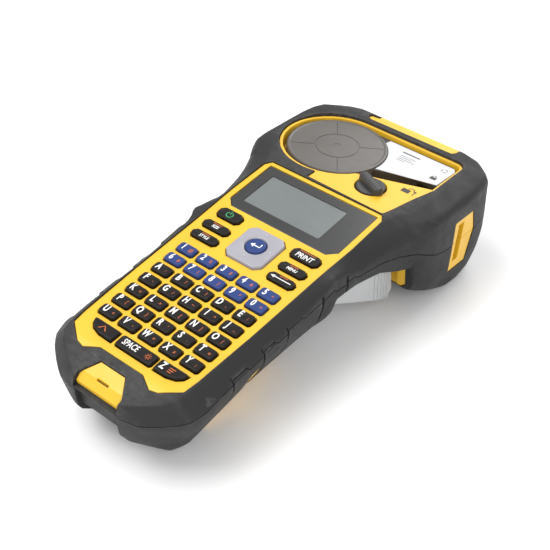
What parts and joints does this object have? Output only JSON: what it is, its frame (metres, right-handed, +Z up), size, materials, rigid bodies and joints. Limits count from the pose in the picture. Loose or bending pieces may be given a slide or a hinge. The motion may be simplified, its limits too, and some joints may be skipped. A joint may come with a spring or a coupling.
{
  "type": "handheld label maker",
  "caption": "Rugged handheld label maker: keypad handle, display, label cartridge bay in a wide sloping head, cutter trigger underneath and rubber bumpers.",
  "frame": {"origin": "centre of the bounding box, at floor height, with the device lying on its back", "axes": "+X to the right across the keypad, +Y along the body from the nose to the cartridge head, +Z up, roughly out of the keypad"},
  "size_m": [0.1156, 0.243, 0.0625],
  "materials": {
    "yellow_case": "satin moulded ABS",
    "bumper_rubber": "matte overmoulded rubber",
    "dark_key": "matte silicone key with printed legend",
    "blue_key": "matte silicone key with printed legend",
    "nav_pad": "fine satin",
    "display_window": "glossy lens",
    "cartridge": "smoked, glossy",
    "lever": "satin",
    "trigger": "satin",
    "circuit_board": "solder mask",
    "battery_pack": "matte",
    "battery_door": "matte",
    "steel": "ground",
    "roller_rubber": "matte"
  },
  "bodies": {
    "housing": {"upper_case": "yellow_case", "lower_case": "yellow_case", "upper_bumper": "bumper_rubber", "lower_bumper": "bumper_rubber", "display_window": "display_window", "main_board": "circuit_board", "battery_pack": "battery_pack", "print_head": "steel"},
    "door": {"battery_door": "battery_door"},
    "cartridge": {"label_cartridge": "cartridge"},
    "blade": {"cutter_blade": "steel"},
    "trigger": {"cutter_trigger": "trigger"},
    "lever": {"lock_lever": "lever"},
    "platen": {"platen_roller": "roller_rubber"},
    "nav_pad_body": {"nav_pad": "nav_pad"},
    "enter": {"key_enter": "blue_key"},
    "key_1_body": {"key_1": "blue_key"},
    "key_2_body": {"key_2": "blue_key"},
    "key_3_body": {"key_3": "blue_key"},
    "key_4_body": {"key_4": "blue_key"},
    "key_5_body": {"key_5": "blue_key"},
    "key_6_body": {"key_6": "blue_key"},
    "key_7_body": {"key_7": "blue_key"},
    "key_8_body": {"key_8": "blue_key"},
    "key_9_body": {"key_9": "blue_key"},
    "key_0_body": {"key_0": "blue_key"},
    "key_a_body": {"key_a": "dark_key"},
    "key_b_body": {"key_b": "dark_key"},
    "key_c_body": {"key_c": "dark_key"},
    "key_d_body": {"key_d": "dark_key"},
    "key_e_body": {"key_e": "dark_key"},
    "key_f_body": {"key_f": "dark_key"},
    "key_g_body": {"key_g": "dark_key"},
    "key_h_body": {"key_h": "dark_key"},
    "key_i_body": {"key_i": "dark_key"},
    "key_j_body": {"key_j": "dark_key"},
    "key_k_body": {"key_k": "dark_key"},
    "key_l_body": {"key_l": "dark_key"},
    "key_m_body": {"key_m": "dark_key"},
    "key_n_body": {"key_n": "dark_key"},
    "key_o_body": {"key_o": "dark_key"},
    "key_p_body": {"key_p": "dark_key"},
    "key_q_body": {"key_q": "dark_key"},
    "key_r_body": {"key_r": "dark_key"},
    "key_s_body": {"key_s": "dark_key"},
    "key_t_body": {"key_t": "dark_key"},
    "key_u_body": {"key_u": "dark_key"},
    "key_v_body": {"key_v": "dark_key"},
    "key_w_body": {"key_w": "dark_key"},
    "key_x_body": {"key_x": "dark_key"},
    "key_y_body": {"key_y": "dark_key"},
    "key_shift_body": {"key_shift": "dark_key"},
    "key_space_body": {"key_space": "dark_key"},
    "key_z_body": {"key_z": "dark_key"},
    "key_power_body": {"key_power": "dark_key"},
    "key_size_body": {"key_size": "dark_key"},
    "key_style_body": {"key_style": "dark_key"},
    "key_print_body": {"key_print": "dark_key"},
    "key_menu_body": {"key_menu": "dark_key"},
    "key_erase_body": {"key_erase": "dark_key"}
  },
  "joints": [
    {"name": "battery_door_slide", "type": "slide", "parent": "housing", "child": "door", "axis": [0, 0.1045, -0.9945], "range_m": [0, 0.03]},
    {"name": "cartridge_lift", "type": "slide", "parent": "housing", "child": "cartridge", "axis": [0, 0.0349, 0.9994], "range_m": [0, 0.042]},
    {"name": "cutter_trigger_hinge", "type": "hinge", "parent": "housing", "child": "trigger", "pos_m": [0, -0.00514, 0.0343], "axis": [1, 0, 0], "range_deg": [0, 8], "stiffness_Nm_per_rad": 2},
    {"name": "cutter_blade_slide", "type": "slide", "parent": "housing", "child": "blade", "axis": [0, 0.9994, -0.0349], "range_m": [0, 0.0066]},
    {"name": "cartridge_lock_turn", "type": "hinge", "parent": "housing", "child": "lever", "pos_m": [0.0154, 0.05471, 0.05832], "axis": [0, 0.0349, 0.9994], "range_deg": [0, 75]},
    {"name": "enter_press", "type": "slide", "parent": "housing", "child": "enter", "axis": [0, 0.1045, -0.9945], "range_m": [0, 0.001], "stiffness_N_per_m": 900},
    {"name": "cursor_pad_press", "type": "slide", "parent": "housing", "child": "nav_pad_body", "axis": [0, 0.1045, -0.9945], "range_m": [0, 0.001], "stiffness_N_per_m": 900},
    {"name": "feed_roller_spin", "type": "hinge", "parent": "housing", "child": "platen", "pos_m": [0.033, 0.07723, 0.03252], "axis": [0, 0.0349, 0.9994], "continuous": true},
    {"name": "key_shift_press", "type": "slide", "parent": "housing", "child": "key_shift_body", "axis": [0, 0.1045, -0.9945], "range_m": [0, 0.001], "stiffness_N_per_m": 900},
    {"name": "key_space_press", "type": "slide", "parent": "housing", "child": "key_space_body", "axis": [0, 0.1045, -0.9945], "range_m": [0, 0.001], "stiffness_N_per_m": 900},
    {"name": "key_z_press", "type": "slide", "parent": "housing", "child": "key_z_body", "axis": [0, 0.1045, -0.9945], "range_m": [0, 0.001], "stiffness_N_per_m": 900},
    {"name": "key_power_press", "type": "slide", "parent": "housing", "child": "key_power_body", "axis": [0, 0.1045, -0.9945], "range_m": [0, 0.001], "stiffness_N_per_m": 900},
    {"name": "key_size_press", "type": "slide", "parent": "housing", "child": "key_size_body", "axis": [0, 0.1045, -0.9945], "range_m": [0, 0.001], "stiffness_N_per_m": 900},
    {"name": "key_style_press", "type": "slide", "parent": "housing", "child": "key_style_body", "axis": [0, 0.1045, -0.9945], "range_m": [0, 0.001], "stiffness_N_per_m": 900},
    {"name": "key_print_press", "type": "slide", "parent": "housing", "child": "key_print_body", "axis": [0, 0.1045, -0.9945], "range_m": [0, 0.001], "stiffness_N_per_m": 900},
    {"name": "key_menu_press", "type": "slide", "parent": "housing", "child": "key_menu_body", "axis": [0, 0.1045, -0.9945], "range_m": [0, 0.001], "stiffness_N_per_m": 900},
    {"name": "key_erase_press", "type": "slide", "parent": "housing", "child": "key_erase_body", "axis": [0, 0.1045, -0.9945], "range_m": [0, 0.001], "stiffness_N_per_m": 900},
    {"name": "key_1_press", "type": "slide", "parent": "housing", "child": "key_1_body", "axis": [0, 0.1045, -0.9945], "range_m": [0, 0.001], "stiffness_N_per_m": 900},
    {"name": "key_2_press", "type": "slide", "parent": "housing", "child": "key_2_body", "axis": [0, 0.1045, -0.9945], "range_m": [0, 0.001], "stiffness_N_per_m": 900},
    {"name": "key_3_press", "type": "slide", "parent": "housing", "child": "key_3_body", "axis": [0, 0.1045, -0.9945], "range_m": [0, 0.001], "stiffness_N_per_m": 900},
    {"name": "key_4_press", "type": "slide", "parent": "housing", "child": "key_4_body", "axis": [0, 0.1045, -0.9945], "range_m": [0, 0.001], "stiffness_N_per_m": 900},
    {"name": "key_5_press", "type": "slide", "parent": "housing", "child": "key_5_body", "axis": [0, 0.1045, -0.9945], "range_m": [0, 0.001], "stiffness_N_per_m": 900},
    {"name": "key_6_press", "type": "slide", "parent": "housing", "child": "key_6_body", "axis": [0, 0.1045, -0.9945], "range_m": [0, 0.001], "stiffness_N_per_m": 900},
    {"name": "key_7_press", "type": "slide", "parent": "housing", "child": "key_7_body", "axis": [0, 0.1045, -0.9945], "range_m": [0, 0.001], "stiffness_N_per_m": 900},
    {"name": "key_8_press", "type": "slide", "parent": "housing", "child": "key_8_body", "axis": [0, 0.1045, -0.9945], "range_m": [0, 0.001], "stiffness_N_per_m": 900},
    {"name": "key_9_press", "type": "slide", "parent": "housing", "child": "key_9_body", "axis": [0, 0.1045, -0.9945], "range_m": [0, 0.001], "stiffness_N_per_m": 900},
    {"name": "key_0_press", "type": "slide", "parent": "housing", "child": "key_0_body", "axis": [0, 0.1045, -0.9945], "range_m": [0, 0.001], "stiffness_N_per_m": 900},
    {"name": "key_a_press", "type": "slide", "parent": "housing", "child": "key_a_body", "axis": [0, 0.1045, -0.9945], "range_m": [0, 0.001], "stiffness_N_per_m": 900},
    {"name": "key_b_press", "type": "slide", "parent": "housing", "child": "key_b_body", "axis": [0, 0.1045, -0.9945], "range_m": [0, 0.001], "stiffness_N_per_m": 900},
    {"name": "key_c_press", "type": "slide", "parent": "housing", "child": "key_c_body", "axis": [0, 0.1045, -0.9945], "range_m": [0, 0.001], "stiffness_N_per_m": 900},
    {"name": "key_d_press", "type": "slide", "parent": "housing", "child": "key_d_body", "axis": [0, 0.1045, -0.9945], "range_m": [0, 0.001], "stiffness_N_per_m": 900},
    {"name": "key_e_press", "type": "slide", "parent": "housing", "child": "key_e_body", "axis": [0, 0.1045, -0.9945], "range_m": [0, 0.001], "stiffness_N_per_m": 900},
    {"name": "key_f_press", "type": "slide", "parent": "housing", "child": "key_f_body", "axis": [0, 0.1045, -0.9945], "range_m": [0, 0.001], "stiffness_N_per_m": 900},
    {"name": "key_g_press", "type": "slide", "parent": "housing", "child": "key_g_body", "axis": [0, 0.1045, -0.9945], "range_m": [0, 0.001], "stiffness_N_per_m": 900},
    {"name": "key_h_press", "type": "slide", "parent": "housing", "child": "key_h_body", "axis": [0, 0.1045, -0.9945], "range_m": [0, 0.001], "stiffness_N_per_m": 900},
    {"name": "key_i_press", "type": "slide", "parent": "housing", "child": "key_i_body", "axis": [0, 0.1045, -0.9945], "range_m": [0, 0.001], "stiffness_N_per_m": 900},
    {"name": "key_j_press", "type": "slide", "parent": "housing", "child": "key_j_body", "axis": [0, 0.1045, -0.9945], "range_m": [0, 0.001], "stiffness_N_per_m": 900},
    {"name": "key_k_press", "type": "slide", "parent": "housing", "child": "key_k_body", "axis": [0, 0.1045, -0.9945], "range_m": [0, 0.001], "stiffness_N_per_m": 900},
    {"name": "key_l_press", "type": "slide", "parent": "housing", "child": "key_l_body", "axis": [0, 0.1045, -0.9945], "range_m": [0, 0.001], "stiffness_N_per_m": 900},
    {"name": "key_m_press", "type": "slide", "parent": "housing", "child": "key_m_body", "axis": [0, 0.1045, -0.9945], "range_m": [0, 0.001], "stiffness_N_per_m": 900},
    {"name": "key_n_press", "type": "slide", "parent": "housing", "child": "key_n_body", "axis": [0, 0.1045, -0.9945], "range_m": [0, 0.001], "stiffness_N_per_m": 900},
    {"name": "key_o_press", "type": "slide", "parent": "housing", "child": "key_o_body", "axis": [0, 0.1045, -0.9945], "range_m": [0, 0.001], "stiffness_N_per_m": 900},
    {"name": "key_p_press", "type": "slide", "parent": "housing", "child": "key_p_body", "axis": [0, 0.1045, -0.9945], "range_m": [0, 0.001], "stiffness_N_per_m": 900},
    {"name": "key_q_press", "type": "slide", "parent": "housing", "child": "key_q_body", "axis": [0, 0.1045, -0.9945], "range_m": [0, 0.001], "stiffness_N_per_m": 900},
    {"name": "key_r_press", "type": "slide", "parent": "housing", "child": "key_r_body", "axis": [0, 0.1045, -0.9945], "range_m": [0, 0.001], "stiffness_N_per_m": 900},
    {"name": "key_s_press", "type": "slide", "parent": "housing", "child": "key_s_body", "axis": [0, 0.1045, -0.9945], "range_m": [0, 0.001], "stiffness_N_per_m": 900},
    {"name": "key_t_press", "type": "slide", "parent": "housing", "child": "key_t_body", "axis": [0, 0.1045, -0.9945], "range_m": [0, 0.001], "stiffness_N_per_m": 900},
    {"name": "key_u_press", "type": "slide", "parent": "housing", "child": "key_u_body", "axis": [0, 0.1045, -0.9945], "range_m": [0, 0.001], "stiffness_N_per_m": 900},
    {"name": "key_v_press", "type": "slide", "parent": "housing", "child": "key_v_body", "axis": [0, 0.1045, -0.9945], "range_m": [0, 0.001], "stiffness_N_per_m": 900},
    {"name": "key_w_press", "type": "slide", "parent": "housing", "child": "key_w_body", "axis": [0, 0.1045, -0.9945], "range_m": [0, 0.001], "stiffness_N_per_m": 900},
    {"name": "key_x_press", "type": "slide", "parent": "housing", "child": "key_x_body", "axis": [0, 0.1045, -0.9945], "range_m": [0, 0.001], "stiffness_N_per_m": 900},
    {"name": "key_y_press", "type": "slide", "parent": "housing", "child": "key_y_body", "axis": [0, 0.1045, -0.9945], "range_m": [0, 0.001], "stiffness_N_per_m": 900}
  ],
  "couplings": [
    {"joint": "cutter_blade_slide", "follows": "cutter_trigger_hinge", "m_per_rad": 0.0465}
  ]
}
